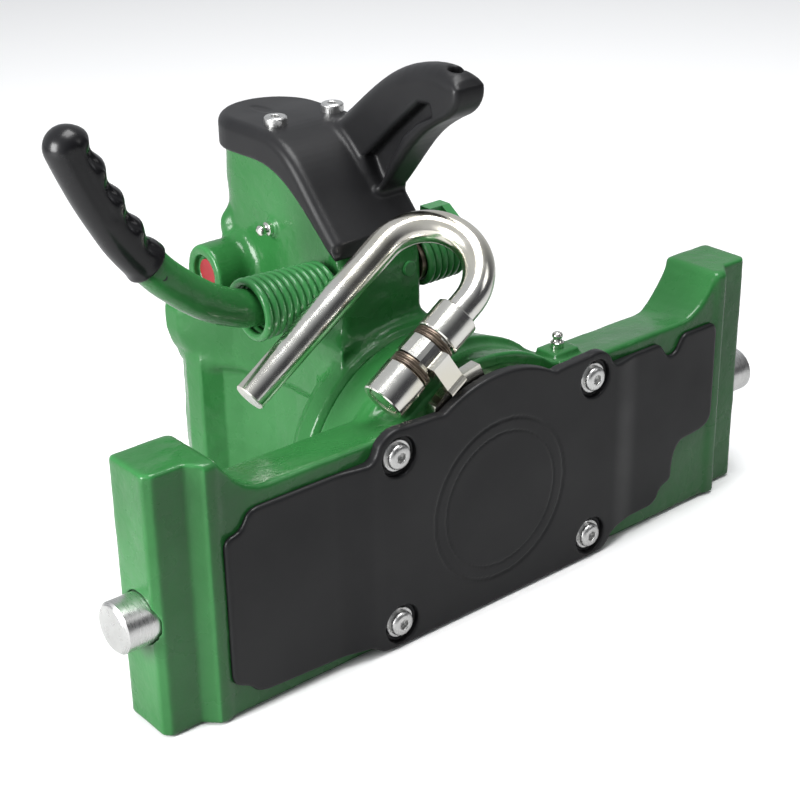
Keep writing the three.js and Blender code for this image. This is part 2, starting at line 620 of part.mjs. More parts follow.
const handleGroup = new THREE.Group();
handleGroup.rotation.x = rad(-rod.foldedBack);
barrelGroup.add(handleGroup);
addPart(handleGroup, "handle_rod", handleRod(), zinc);
addPart(handleGroup, "left_sleeve", hingeSleeve([0, 24]), zinc);
addPart(handleGroup, "right_sleeve", hingeSleeve([53, barrel.length]), zinc);
addPart(handleGroup, "left_torsion_spring", coilSpring(13, 0.95, [24.4, 31.1], 2.2), springSteel);
addPart(handleGroup, "right_torsion_spring", coilSpring(13, 0.95, [45.9, 52.6], 2.2), springSteel);

for (const [name, side] of [["left", -1], ["right", 1]]) {
  const pinSide = new THREE.Group();
  pinSide.position.set(0, lockPin.y, rollAxisZ);
  carrier.add(pinSide);
  const outer = plate.halfWidth + lockPin.protrusion;
  const body = turned("x", [
    [0, side * lockPin.inner], [lockPin.radius, side * lockPin.inner], [lockPin.radius, side * (outer - 1.5)],
    [lockPin.radius - 1.5, side * outer], [0, side * outer],
  ], [0, 0, 0], 32);
  const studHole = rodAlong("y", lockPin.studRadius + 0.1, [-20, 0], [side * lockPin.studAt, 0, 0], 20);
  addPart(pinSide, `${name}_locking_pin`, body.subtract(studHole), steel);
  const studTop = disc.front + 0.8 - lockPin.y;
  addPart(pinSide, `${name}_pin_stud`,
    rodAlong("y", lockPin.studRadius - 0.2, [studTop, -0.4], [side * lockPin.studAt, 0, 0], 20), steel);
}

export default coupling;
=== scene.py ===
"""A trailer coupling on a height-adjustable slide plate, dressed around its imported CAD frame.

Shapes are worked out in millimetres in the frame's own axes: +X across the plate, +Y towards
the trailer, +Z up. Cast and moulded pieces are signed distance fields, turned into meshes.
"""

import json
import math

import bpy
import numpy as np
from mathutils import Matrix, Vector


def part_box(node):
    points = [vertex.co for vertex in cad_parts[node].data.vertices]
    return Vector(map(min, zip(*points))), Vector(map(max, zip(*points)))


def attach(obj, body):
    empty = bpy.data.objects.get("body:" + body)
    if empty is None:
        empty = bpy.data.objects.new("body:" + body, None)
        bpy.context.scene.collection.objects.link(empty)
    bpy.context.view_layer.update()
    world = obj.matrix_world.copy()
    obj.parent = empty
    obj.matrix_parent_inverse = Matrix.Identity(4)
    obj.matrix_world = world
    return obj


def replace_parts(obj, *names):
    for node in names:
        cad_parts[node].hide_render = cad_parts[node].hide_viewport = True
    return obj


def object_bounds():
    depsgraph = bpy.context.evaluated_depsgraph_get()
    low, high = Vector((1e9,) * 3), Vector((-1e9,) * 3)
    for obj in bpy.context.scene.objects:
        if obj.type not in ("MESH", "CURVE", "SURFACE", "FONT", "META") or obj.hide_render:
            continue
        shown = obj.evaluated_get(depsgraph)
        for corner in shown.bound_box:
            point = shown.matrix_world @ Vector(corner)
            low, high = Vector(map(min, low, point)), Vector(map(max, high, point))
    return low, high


MM = 0.001
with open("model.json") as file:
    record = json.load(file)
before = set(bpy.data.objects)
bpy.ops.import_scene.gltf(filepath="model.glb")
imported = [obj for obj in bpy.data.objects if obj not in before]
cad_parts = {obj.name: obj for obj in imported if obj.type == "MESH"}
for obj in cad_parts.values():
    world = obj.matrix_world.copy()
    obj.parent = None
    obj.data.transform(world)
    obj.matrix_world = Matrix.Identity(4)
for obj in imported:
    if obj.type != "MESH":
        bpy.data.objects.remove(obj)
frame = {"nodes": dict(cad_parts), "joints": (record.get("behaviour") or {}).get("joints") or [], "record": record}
cad_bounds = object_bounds()


# ------------------------------------------------------------------ places in the frame
def box_mm(node):
    """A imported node's two box corners, in millimetres."""
    low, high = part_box(node)
    return np.array(low) / MM, np.array(high) / MM


def joint(name):
    return next(j for j in frame["joints"] if j["name"] == name)


def joint_place(name):
    return np.array(joint(name)["pos_m"]) / MM


PLATE_LOW, PLATE_HIGH = box_mm("slide_plate")
HALF_WIDTH = PLATE_HIGH[0]
PLATE_FRONT = PLATE_LOW[1]
BAR_HEIGHT = PLATE_HIGH[2]
COLLAR_BACK = PLATE_HIGH[1]
ROLL_Z = joint_place("disc_turn")[2]
LEVER = joint_place("lever_swing")
BARREL = joint_place("handle_fold")
BARREL_AXIS = np.array(joint("handle_fold")["axis"])
PIN_X, PIN_Y, _ = np.mean(box_mm("coupling_pin"), axis=0)
BOSS = np.mean(box_mm("indicator_pin"), axis=0)
COVER_LOW, COVER_HIGH = box_mm("front_cover")
HEAD_LOW, HEAD_HIGH = box_mm("head_housing")
HOOD_LOW, HOOD_HIGH = box_mm("hood")


# --------------------------------------------------------------------- distance fields
class Grid:
    """Sample places between two corners, as three arrays that broadcast together."""

    def __init__(self, low, high, step):
        self.low = np.array(low, float)
        self.step = step
        counts = np.ceil((np.array(high, float) - self.low) / step).astype(int) + 1
        axes = [self.low[i] + step * np.arange(counts[i]) for i in range(3)]
        self.x, self.y, self.z = np.meshgrid(*axes, indexing="ij", sparse=True)
        self.axes = axes
        self.shape = tuple(counts)


def polygon(points, u, v):
    """Signed distance to a closed outline, negative inside."""
    u, v = np.broadcast_arrays(u, v)
    nearest = np.full(u.shape, np.inf)
    inside = np.zeros(u.shape, bool)
    points = [p for p, q in zip(points, [*points[1:], points[0]]) if math.dist(p, q) > 1e-6]
    for (au, av), (bu, bv) in zip(points, [*points[1:], points[0]]):
        eu, ev = bu - au, bv - av
        t = np.clip(((u - au) * eu + (v - av) * ev) / (eu * eu + ev * ev), 0, 1)
        nearest = np.minimum(nearest, (u - au - t * eu) ** 2 + (v - av - t * ev) ** 2)
        if av != bv:
            inside ^= ((av > v) != (bv > v)) & (u < eu * (v - av) / ev + au)
    return np.where(inside, -1, 1) * np.sqrt(nearest)


def meet(a, b, radius=0.0):
    """What two fields share, with its outer edge rounded."""
    if radius == 0:
        return np.maximum(a, b)
    corner = np.hypot(np.maximum(radius + a, 0), np.maximum(radius + b, 0))
    return np.minimum(-radius, np.maximum(a, b)) + corner


def merge(a, b, radius=0.0):
    """Two fields joined, with a fillet between them."""
    if radius == 0:
        return np.minimum(a, b)
    corner = np.hypot(np.maximum(radius - a, 0), np.maximum(radius - b, 0))
    return np.maximum(radius, np.minimum(a, b)) - corner


def carve(a, b, radius=0.0):
    return meet(a, -b, radius)


def slab(w, low, high):
    return np.abs(w - (low + high) / 2) - (high - low) / 2


def block(grid, x, y, z, radius=0.0):
    return meet(meet(slab(grid.x, *x), slab(grid.y, *y), radius), slab(grid.z, *z), radius)


def round_bar(u, v, w, radius, span, edge=0.0):
    """A cylinder along w, given the two distances across it."""
    return meet(np.hypot(u, v) - radius, slab(w, *span), edge)


def lumps(grid, size, amount, seed):
    """Soft random swelling, as on a casting."""
    rng = np.random.default_rng(seed)
    parts = []
    for axis in grid.axes:
        place = (axis - axis[0]) / size
        cell = place.astype(int)
        t = place - cell
        parts.append((cell, t * t * (3 - 2 * t)))
    lattice = rng.uniform(-amount, amount, [cell[-1] + 2 for cell, _ in parts])
    total = np.zeros(grid.shape)
    for corner in np.ndindex(2, 2, 2):
        index = [cell + step for (cell, _), step in zip(parts, corner)]
        weight = [t if step else 1 - t for (_, t), step in zip(parts, corner)]
        total += lattice[np.ix_(*index)] * weight[0][:, None, None] * weight[1][:, None] * weight[2]
    return total


def sampled(values, place):
    """A field's values between its samples, at places counted in grid steps."""
    cell = np.clip(place.astype(int), 0, np.array(values.shape) - 2)
    t = place - cell
    total = np.zeros(len(place))
    for corner in np.ndindex(2, 2, 2):
        weight = np.prod(np.where(corner, t, 1 - t), axis=1)
        i, j, k = (cell + corner).T
        total += values[i, j, k] * weight
    return total


def edge_crossings(values, axis):
    """Where a field changes sign between neighbours along an axis, and which of them start inside."""
    first = [slice(None)] * 3
    second = [slice(None)] * 3
    first[axis] = slice(0, -1)
    second[axis] = slice(1, None)
    a, b = values[tuple(first)], values[tuple(second)]
    crossing = (a < 0) != (b < 0)
    counters = [np.arange(n) for n in a.shape]
    place = np.stack(np.meshgrid(*counters, indexing="ij"), axis=-1).astype(float)
    place[..., axis] += np.where(crossing, a / np.where(crossing, a - b, 1), 0)
    place[~crossing] = 0
    return crossing, a < 0, place


def pulled_to_surface(values, place):
    """Moves places down a field's slope, by less than half a cell at a time, onto its zero surface."""
    longest_step = 0.4
    slopes = np.gradient(values)
    for _ in range(2):
        slope = np.stack([sampled(s, place) for s in slopes], axis=1)
        length = np.maximum((slope**2).sum(axis=1), 1e-9)
        pull = np.clip(sampled(values, place) / length, -1, 1)[:, None] * slope
        place = place - np.clip(pull, -longest_step, longest_step)
    return place


def net_faces(number, axis, crossing, starts_inside):
    """An outward quad for each crossed grid edge, between the four cells that share the edge."""
    others = [(axis + 1) % 3, (axis + 2) % 3]
    at = np.argwhere(crossing)
    at = at[np.all([(at[:, k] > 0) & (at[:, k] < number.shape[k]) for k in others], axis=0)]
    ring = []
    for shift in ((1, 1), (0, 1), (0, 0), (1, 0)):
        cell = at.copy()
        cell[:, others] -= shift
        ring.append(number[tuple(cell.T)])
    quads = np.stack(ring, axis=1)
    outward = starts_inside[tuple(at.T)]
    return np.where(outward[:, None], quads, quads[:, ::-1])


def skin(name, grid, values, body, slot):
    """The zero surface of a field as a mesh piece (surface nets, then pulled onto the surface)."""
    values = np.broadcast_to(values, grid.shape)
    cells = tuple(n - 1 for n in grid.shape)
    total = np.zeros((*cells, 3))
    count = np.zeros(cells, int)
    crossings = []
    for axis in range(3):
        crossing, starts_inside, place = edge_crossings(values, axis)
        crossings.append((crossing, starts_inside))
        others = [k for k in range(3) if k != axis]
        for shift in np.ndindex(2, 2):
            part = [slice(None)] * 3
            for other, step in zip(others, shift):
                part[other] = slice(step, cells[other] + step)
            total += place[tuple(part)]
            count += crossing[tuple(part)]
    used = count > 0
    number = np.full(cells, -1)
    number[used] = np.arange(used.sum())
    place = pulled_to_surface(values, total[used] / count[used][:, None])
    faces = [net_faces(number, axis, *crossing) for axis, crossing in enumerate(crossings)]
    points = (grid.low + place * grid.step) * MM
    return piece(name, points, np.concatenate(faces).tolist(), body, slot)


def piece(name, points, faces, body, slot):
    """A mesh object from points in metres, riding on a body, in the finish of its material slot."""
    mesh = bpy.data.meshes.new(name)
    mesh.from_pydata([tuple(p) for p in points], [], faces)
    mesh.polygons.foreach_set("use_smooth", [True] * len(mesh.polygons))
    mesh.materials.append(FINISHES[slot])
    mesh.update()
    made = bpy.data.objects.new(name, mesh)
    bpy.context.scene.collection.objects.link(made)
    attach(made, body)
    return made


# ------------------------------------------------------------------ swept and turned pieces
def soften(points, rounds=3):
    """Corner cutting: a smooth open line through a rough one."""
    points = np.array(points, float)
    for _ in range(rounds):
        a, b = points[:-1], points[1:]
        inner = np.stack([0.75 * a + 0.25 * b, 0.25 * a + 0.75 * b], axis=1)
        points = np.vstack([points[:1], inner.reshape(-1, points.shape[1]), points[-1:]])
    return points


def distance_along(line):
    return np.concatenate([[0], np.cumsum(np.linalg.norm(np.diff(line, axis=0), axis=1))])


def resampled(values, old, new):
    """Rows of values known at old distances, read off at new ones."""
    return np.stack([np.interp(new, old, column) for column in values.T], axis=1)


def frames_along(points):
    """Two directions across a line at each of its points, without twist."""
    along = np.gradient(points, axis=0)
    along /= np.linalg.norm(along, axis=1)[:, None]
    guess = np.array([0, 1.0, 0]) if abs(along[0][1]) < 0.9 else np.array([1.0, 0, 0])
    across = []
    for direction in along:
        guess = guess - direction * (guess @ direction)
        guess /= np.linalg.norm(guess)
        across.append(guess)
    across = np.array(across)
    return along, across, np.cross(along, across)


def loft(name, rings, body, slot):
    """Closed skin over rings of equally many points, with each end closed by a fan."""
    rings = np.array(rings)
    count, sides = rings.shape[:2]
    points = [*rings.reshape(-1, 3), rings[0].mean(axis=0), rings[-1].mean(axis=0)]
    faces = []
    for i in range(count - 1):
        for j in range(sides):
            k = (j + 1) % sides
            faces.append((i * sides + j, i * sides + k, (i + 1) * sides + k, (i + 1) * sides + j))
    start, end = count * sides, count * sides + 1
    last = (count - 1) * sides
    for j in range(sides):
        k = (j + 1) % sides
        faces.append((start, k, j))
        faces.append((end, last + j, last + k))
    return piece(name, np.array(points) * MM, faces, body, slot)


def swept(name, points, radius, body, slot, sides=32, chamfer=0.0):
    """A round bar along a line, with its two ends chamfered if asked."""
    points = np.array(points, float)
    if chamfer:
        start = points[0] + (points[1] - points[0]) / np.linalg.norm(points[1] - points[0]) * chamfer
        end = points[-1] + (points[-2] - points[-1]) / np.linalg.norm(points[-2] - points[-1]) * chamfer
        points = np.vstack([points[0], start, points[1:-1], end, points[-1]])
    radii = np.full(len(points), float(radius))
    radii[[0, -1]] -= chamfer
    _, across, up = frames_along(points)
    angles = np.linspace(0, 2 * math.pi, sides, endpoint=False)
    rings = (
        points[:, None]
        + radii[:, None, None] * np.cos(angles)[None, :, None] * across[:, None]
        + radii[:, None, None] * np.sin(angles)[None, :, None] * up[:, None]
    )
    made = loft(name, rings, body, slot)
    sharpen(made)
    return made


def sharpen(made, angle=35):
    """Smooth shading with crisp edges where faces meet at more than an angle."""
    mesh = made.data
    mesh.polygons.foreach_set("use_smooth", [True] * len(mesh.polygons))
    mesh.set_sharp_from_angle(angle=math.radians(angle))


def turned(name, profile, place, axis, body, slot, sides=64):
    """[radius, distance along] points revolved about an axis. A closed profile off the axis is a ring."""
    axis = np.array(axis, float) / np.linalg.norm(axis)
    helper = np.array([0, 0, 1.0]) if abs(axis[2]) < 0.9 else np.array([1.0, 0, 0])
    across = np.cross(helper, axis)
    across /= np.linalg.norm(across)
    up = np.cross(axis, across)
    angles = np.linspace(0, 2 * math.pi, sides, endpoint=False)
    spokes = np.cos(angles)[:, None] * across + np.sin(angles)[:, None] * up
    rings = np.array([np.array(place) + along * axis + radius * spokes for radius, along in profile])
    solid_ends = profile[0][0] < 1e-6 or profile[-1][0] < 1e-6
    if solid_ends:
        inner = [ring for ring, (radius, _) in zip(rings, profile) if radius > 1e-6]
        made = loft(name, inner, body, slot)
    else:
        count = len(profile)
        faces = []
        for i in range(count):
            for j in range(sides):
                k, n = (j + 1) % sides, (i + 1) % count
                faces.append((i * sides + j, i * sides + k, n * sides + k, n * sides + j))
        made = piece(name, rings.reshape(-1, 3) * MM, faces, body, slot)
    sharpen(made)
    return made


def face_outward(made):
    """Turns a closed mesh's faces outward if its volume comes out negative."""
    mesh = made.data
    mesh.calc_loop_triangles()
    volume = 0
    for triangle in mesh.loop_triangles:
        a, b, c = (mesh.vertices[i].co for i in triangle.vertices)
        volume += a.dot(b.cross(c))
    if volume < 0:
        mesh.flip_normals()
    return made


# --------------------------------------------------------------------------- materials
MIX_A, MIX_B, MIX_RESULT = 6, 7, 2


def mixed_color(tree, factor, source, other):
    """A socket that goes from a colour socket to a fixed colour as the factor rises."""
    mix = tree.nodes.new("ShaderNodeMix")
    mix.data_type = "RGBA"
    tree.links.new(factor, mix.inputs["Factor"])
    tree.links.new(source, mix.inputs[MIX_A])
    mix.inputs[MIX_B].default_value = (*other, 1)
    return mix.outputs[MIX_RESULT]


class Paint:
    """A Principled material with short calls for the noise that most of them need."""

    def __init__(self, name, color, roughness, metallic=0.0, coat=0.0, gloss=0.5):
        self.material = bpy.data.materials.new(name)
        self.material.use_nodes = True
        self.nodes = self.material.node_tree.nodes
        self.links = self.material.node_tree.links
        self.shader = self.nodes["Principled BSDF"]
        self.shader.inputs["Base Color"].default_value = (*color, 1)
        self.shader.inputs["Roughness"].default_value = roughness
        self.shader.inputs["Metallic"].default_value = metallic
        self.shader.inputs["Specular IOR Level"].default_value = gloss
        self.shader.inputs["Coat Weight"].default_value = coat
        self.shader.inputs["Coat Roughness"].default_value = 0.12
        self.place = self.nodes.new("ShaderNodeTexCoord").outputs["Object"]
        self.normal = None

    def stretched(self, scale):
        mapping = self.nodes.new("ShaderNodeMapping")
        mapping.inputs["Scale"].default_value = scale
        self.links.new(self.place, mapping.inputs["Vector"])
        return mapping.outputs["Vector"]

    def noise(self, scale, detail=3.0, place=None, distortion=0.0):
        """Noise with features of about 1/scale metres."""
        node = self.nodes.new("ShaderNodeTexNoise")
        node.inputs["Scale"].default_value = scale
        node.inputs["Detail"].default_value = detail
        node.inputs["Distortion"].default_value = distortion
        self.links.new(place or self.place, node.inputs["Vector"])
        return node.outputs["Fac"]

    def ramp(self, factor, stops):
        node = self.nodes.new("ShaderNodeValToRGB")
        ramp = node.color_ramp
        while len(ramp.elements) < len(stops):
            ramp.elements.new(0.5)
        for element, (at, color) in zip(ramp.elements, stops):
            element.position = at
            element.color = (*color, 1)
        self.links.new(factor, node.inputs["Fac"])
        return node.outputs["Color"]

    def color(self, source):
        self.links.new(source, self.shader.inputs["Base Color"])
        return self

    def roughness(self, factor, low, high):
        """Roughness from noise, which mostly stays between 0.3 and 0.7."""
        node = self.nodes.new("ShaderNodeMapRange")
        node.inputs["From Min"].default_value = 0.3
        node.inputs["From Max"].default_value = 0.7
        node.inputs["To Min"].default_value = low
        node.inputs["To Max"].default_value = high
        self.links.new(factor, node.inputs["Value"])
        self.links.new(node.outputs["Result"], self.shader.inputs["Roughness"])
        return self

    def bump(self, height, depth, strength=1.0):
        """Relief with a depth in metres; calls stack."""
        node = self.nodes.new("ShaderNodeBump")
        node.inputs["Distance"].default_value = depth
        node.inputs["Strength"].default_value = strength
        self.links.new(height, node.inputs["Height"])
        if self.normal:
            self.links.new(self.normal, node.inputs["Normal"])
        self.normal = node.outputs["Normal"]
        self.links.new(self.normal, self.shader.inputs["Normal"])
        self.links.new(self.normal, self.shader.inputs["Coat Normal"])
        return self

    def edges(self, source, painted_highlight_color, amount=0.5):
        """Mixes a lighter colour in where the surface is convex: a painted highlight along the edges."""
        geometry = self.nodes.new("ShaderNodeNewGeometry")
        flat, convex = (0.52, (0, 0, 0)), (0.6, (amount, amount, amount))
        edge = self.ramp(geometry.outputs["Pointiness"], [flat, convex])
        return self.color(mixed_color(self.material.node_tree, edge, source, painted_highlight_color))


def cast_green():
    paint = Paint("cast_green", (0.016, 0.16, 0.03), 0.3, coat=0.22, gloss=0.3)
    tone = paint.ramp(
        paint.noise(11, 4),
        [(0.3, (0.018, 0.115, 0.027)), (0.5, (0.025, 0.148, 0.036)), (0.72, (0.036, 0.180, 0.050))],
    )
    # Painted highlight: a lighter green along convex edges, where light catches the rounded corners.
    paint.edges(tone, (0.06, 0.32, 0.10), 0.45)
    paint.roughness(paint.noise(30, 4), 0.20, 0.38)
    paint.bump(paint.noise(75, 3), 0.0016, 0.5)
    paint.bump(paint.noise(420, 2), 0.00014, 0.5)
    return paint.material


def moulded_black():
    paint = Paint("moulded_black", (0.012, 0.012, 0.013), 0.4, gloss=0.28)
    tones = [(0.35, (0.009, 0.009, 0.010)), (0.7, (0.016, 0.016, 0.017))]
    paint.color(paint.ramp(paint.noise(14, 5), tones))
    paint.roughness(paint.noise(22, 6), 0.32, 0.46)
    paint.bump(paint.noise(1600, 2), 0.00006, 0.6)
    paint.bump(paint.noise(35, 2), 0.0004, 0.25)
    return paint.material


def grip_black():
    paint = Paint("grip_black", (0.007, 0.007, 0.008), 0.22, coat=0.1, gloss=0.3)
    paint.roughness(paint.noise(60, 4), 0.16, 0.32)
    paint.bump(paint.noise(260, 3), 0.00012, 0.5)
    return paint.material


def zinc():
    paint = Paint("zinc", (0.78, 0.77, 0.71), 0.2, metallic=1.0)
    pale, bright = (0.3, (0.80, 0.79, 0.73)), (0.48, (0.82, 0.81, 0.77))
    yellow, pink = (0.58, (0.79, 0.76, 0.66)), (0.72, (0.81, 0.78, 0.76))
    paint.color(paint.ramp(paint.noise(14, 2, distortion=0.4), [pale, bright, yellow, pink]))
    paint.roughness(paint.noise(90, 4), 0.13, 0.24)
    paint.bump(paint.noise(150, 3), 0.00008, 0.4)
    return paint.material


def machined_steel():
    paint = Paint("machined_steel", (0.66, 0.66, 0.65), 0.3, metallic=1.0)
    paint.color(paint.ramp(paint.noise(40, 4), [(0.3, (0.58, 0.58, 0.57)), (0.7, (0.72, 0.72, 0.71))]))
    turning = paint.noise(3, 3, paint.stretched((900, 60, 60)))
    paint.roughness(turning, 0.22, 0.42)
    paint.bump(turning, 0.00003, 0.4)
    return paint.material


def dark_spring_steel():
    paint = Paint("dark_spring_steel", (0.13, 0.10, 0.08), 0.32, metallic=0.9)
    paint.color(paint.ramp(paint.noise(160, 3), [(0.3, (0.08, 0.06, 0.05)), (0.7, (0.20, 0.16, 0.12))]))
    return paint.material


def bronze():
    paint = Paint("bronze", (0.55, 0.36, 0.16), 0.35, metallic=1.0)
    paint.color(paint.ramp(paint.noise(60, 4), [(0.3, (0.48, 0.31, 0.13)), (0.7, (0.60, 0.41, 0.19))]))
    return paint.material


def signal_red():
    paint = Paint("signal_red", (0.3, 0.010, 0.016), 0.35)
    paint.color(paint.ramp(paint.noise(90, 3), [(0.3, (0.22, 0.008, 0.012)), (0.7, (0.34, 0.012, 0.020))]))
    paint.bump(paint.noise(500, 2), 0.0001, 0.4)
    return paint.material


FINISHES = {
    "cast_green": cast_green(),
    "moulded_black": moulded_black(),
    "grip_black": grip_black(),
    "zinc": zinc(),
    "steel": machined_steel(),
    "spring_steel": dark_spring_steel(),
    "bronze": bronze(),
    "signal_red": signal_red(),
}


def dress_cad_nodes():
    """Every CAD node takes its slot's finish, and a small bevel so that its edges catch light."""
    for part in frame["record"]["subparts"]:
        node = frame["nodes"][part["node"]]
        node.data.materials.clear()
        node.data.materials.append(FINISHES[part["material_slot"]])
        sharpen(node)
        bevel = node.modifiers.new("edge", "BEVEL")
        bevel.width = 0.5 * MM
        bevel.segments = 2
        bevel.limit_method = "ANGLE"
        bevel.angle_limit = math.radians(40)


# ----------------------------------------------------------------------------- outlines
def arc(center, radius, start, end, steps=10):
    angles = np.radians(np.linspace(start, end, steps))
    return [(center[0] + radius * math.cos(a), center[1] + radius * math.sin(a)) for a in angles]


def curve(*controls, steps=8):
    """Points on a Bezier curve, without its first point."""
    t = np.linspace(0, 1, steps + 1)[1:, None]
    levels = [np.array(c, float) for c in controls]
    while len(levels) > 1:
        levels = [a * (1 - t) + b * t for a, b in zip(levels, levels[1:])]
    return [tuple(p) for p in levels[0]]


def bend(*controls):
    """A curve with its first point."""
    return [controls[0], *curve(*controls)]


def mirrored(half):
    """An outline symmetric about u = 0, from its right half."""
    return [*half, *[(-u, v) for u, v in reversed(half)]]


# --------------------------------------------------------------------------- slide plate
FLANGE_RADIUS = 91
DOME_RADIUS = 96
WEB_TOP = 147.5
WEB_BACK = 38
BAR_INSIDE = 211
BAR_BACK = 40
NECK_BORE = 32.4
NECK_SEAT = 36.5
NECK_SEAT_BACK = 20
CHANNEL_Y = 18.5
CHANNEL_RADIUS = 16.8


def plate_outline():
    """Front view: the two guide bars, the level top between them and the dome over the neck."""
    dome = arc((0, ROLL_Z), DOME_RADIUS, 56, 90, 10)
    half = [(HALF_WIDTH, 0), (HALF_WIDTH, BAR_HEIGHT), (BAR_INSIDE, BAR_HEIGHT)]
    half += curve((BAR_INSIDE, BAR_HEIGHT), (204, 168), (198, WEB_TOP + 1), (176, WEB_TOP))
    half += [*bend((84, WEB_TOP), (62, WEB_TOP), dome[0]), *dome[1:]]
    return mirrored(half)


def plate_web(x, y, z):
    """The web. Its top falls towards the back, and runs level next to the bars."""
    drop, level_from, blend = 8.5, 206, 24
    ramp = np.clip((level_from - np.abs(x)) / blend, 0, 1)
    fall = drop * ramp * (y - PLATE_FRONT) / (WEB_BACK - PLATE_FRONT)
    web = meet(polygon(plate_outline(), x, z + fall), slab(y, PLATE_FRONT, WEB_BACK), 3.5)
    return meet(web, -z, 2.0)


def rear_collar(around, y, z):
    """Round collar behind the web, cut level with the underside."""
    far = FLANGE_RADIUS
    side = [(0, WEB_BACK - 8), (DOME_RADIUS, WEB_BACK - 8), (94, WEB_BACK + 4), (far + 0.6, WEB_BACK + 16)]
    side += [(far, COLLAR_BACK - 1.5), (far - 1.5, COLLAR_BACK), (0, COLLAR_BACK)]
    return meet(polygon(side, around, y), -z, 3)


def disc_recess(grid, around):
    """Round recess in the front for the height adjuster, open through the dome."""
    depth, radius, floor = 1, 89, 3
    recess = np.maximum(np.maximum(around - radius, grid.y - depth), floor - grid.z)
    return np.minimum(recess, block(grid, (-66, 66), (-30, depth), (ROLL_Z + 50, 200)))


def slide_plate():
    margin = 4
    low = (-HALF_WIDTH - margin, PLATE_FRONT - margin, -margin)
    grid = Grid(low, (HALF_WIDTH + margin, COLLAR_BACK + margin, BAR_HEIGHT + margin), 1.6)
    x, y, z = grid.x, grid.y, grid.z
    around = np.hypot(x, z - ROLL_Z)
    sides = (BAR_INSIDE, HALF_WIDTH), (-HALF_WIDTH, -BAR_INSIDE)
    bars = [block(grid, side, (PLATE_FRONT, BAR_BACK), (0, BAR_HEIGHT), 2.5) for side in sides]
    body = merge(plate_web(x, y, z), np.minimum(*bars), 5)
    body = merge(body, rear_collar(around, y, z), 8)
    bar_step = [(219, -30), (219, PLATE_FRONT), (226.5, 0), (247, 0), (251, 4), (270, 4), (270, -30)]
    body = carve(body, polygon(bar_step, np.abs(x), y), 1.0)
    body = carve(body, disc_recess(grid, around), 0.8)
    body = carve(body, around - NECK_BORE)
    body = carve(body, np.maximum(around - NECK_SEAT, y - NECK_SEAT_BACK))
    body = carve(body, np.hypot(y - CHANNEL_Y, z - ROLL_Z) - CHANNEL_RADIUS, 0.8)
    nipple_pad = block(grid, (66, 90), (5, 24), (135, 150.4), 2)
    body = merge(body, nipple_pad, 4)
    body = meet(body, 0.4 - z, 2)
    body = body + lumps(grid, 17, 0.32, 3) + lumps(grid, 6, 0.12, 4)
    made = skin("cast_slide_plate", grid, body, "carrier", "cast_green")
    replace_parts(made, "slide_plate")


# -------------------------------------------------------------------------- head casting
TOWER_LEFT = -46
TOWER_RIGHT = 21
TOWER_FRONT = 84
TOWER_BACK_CENTRE = 198
PIN_BORE = 24.3
PIN_BORE_TOP = 200
SHAFT_BORE = 10
TOWER_SIDE = [
    (84, 120), (84, 208), (90, 222), (104, 240), (122, 260), (140, 274), (158, 281), (240, 281), (240, 120),
]


def round_backed_plan(left, right, front, back_centre):
    """Plan with a straight front and a half-round back."""
    middle = (left + right) / 2
    radius = (right - left) / 2
    return [(left, front), (right, front), *arc((middle, back_centre), radius, 0, 180, 28)]


def tower_plan(grow=0.0):
    """The tower from above, larger by an amount on each side."""
    return round_backed_plan(TOWER_LEFT - grow, TOWER_RIGHT + grow, TOWER_FRONT - grow, TOWER_BACK_CENTRE)


def about_pin(half):
    """An outline symmetric about the coupling pin, from its right half."""
    return [(PIN_X + u, v) for u, v in mirrored(half)]


def jaw(x, y, z):
    """The two jaws with the wide shoulder, without the mouth."""
    lower_half = [(36, 80), (36, 138), (39, 160), (47, 186), (54, 198), (68, 206), (69, 222), (62, 238)]
    upper_half = [(40, 80), (40, 140), (44, 162), (52, 186), (62, 200), (76, 220), (77, 234), (70, 240)]
    lower = meet(polygon(about_pin(lower_half), x, y), slab(z, 1, 126), 6)
    section = [(-78, 142), (-64, 117), (64, 117), (78, 142), (78, 158), (71, 167), (-71, 167), (-78, 158)]
    upper = meet(polygon(about_pin(upper_half), x, y), polygon(section, x - PIN_X, z), 6)
    return lower, upper


def mouth(x, y, z):
    """The space between the jaws, which flares towards the trailer."""
    rise = [(140, 50), (140, 102), (205, 103), (246, 114), (246, 33), (205, 47)]
    spread = about_pin([(28, 140), (32, 160), (40, 186), (61, 246)])
    return meet(polygon(rise, y, z), polygon(spread, x, y), 6)


def head_flange(around, y, z):
    """Round flange against the plate's collar, cut level with the underside."""
    far, front = FLANGE_RADIUS, 72.4
    side = [(0, front), (far - 3.5, front), (far, 76), (far, 88), (80, 104), (0, 104)]
    return meet(polygon(side, around, y), 1 - z, 2)


def tower(x, y, z):
    corner = 6
    plan = polygon(tower_plan(-corner), x, y) - corner
    return meet(plan, polygon(TOWER_SIDE, y, z), 4)


def tower_wells(grid):
    """The lever's well and the coupling pin's well, both open under the hood."""
    wall, half_bore = 3.5, 28.5
    side = polygon(TOWER_SIDE, grid.y, grid.z)
    lever_well = meet(block(grid, (-30, 10), (88, 150), (160, 300)), side + wall)
    pin_well = block(grid, (PIN_X - half_bore, PIN_X + half_bore), (140, 222), (152, 300))
    return np.minimum(lever_well, pin_well)


def indicator_bore(grid):
    """The bore for the indicator, wider where the pin's red head sits."""
    bore, counterbore = 9.7, 12.6
    u, v = grid.y - BOSS[1], grid.z - BOSS[2]
    head_seat = round_bar(u, v, grid.x, counterbore, (-90, -70.5))
    return np.minimum(head_seat, round_bar(u, v, grid.x, bore, (-90, -20)))


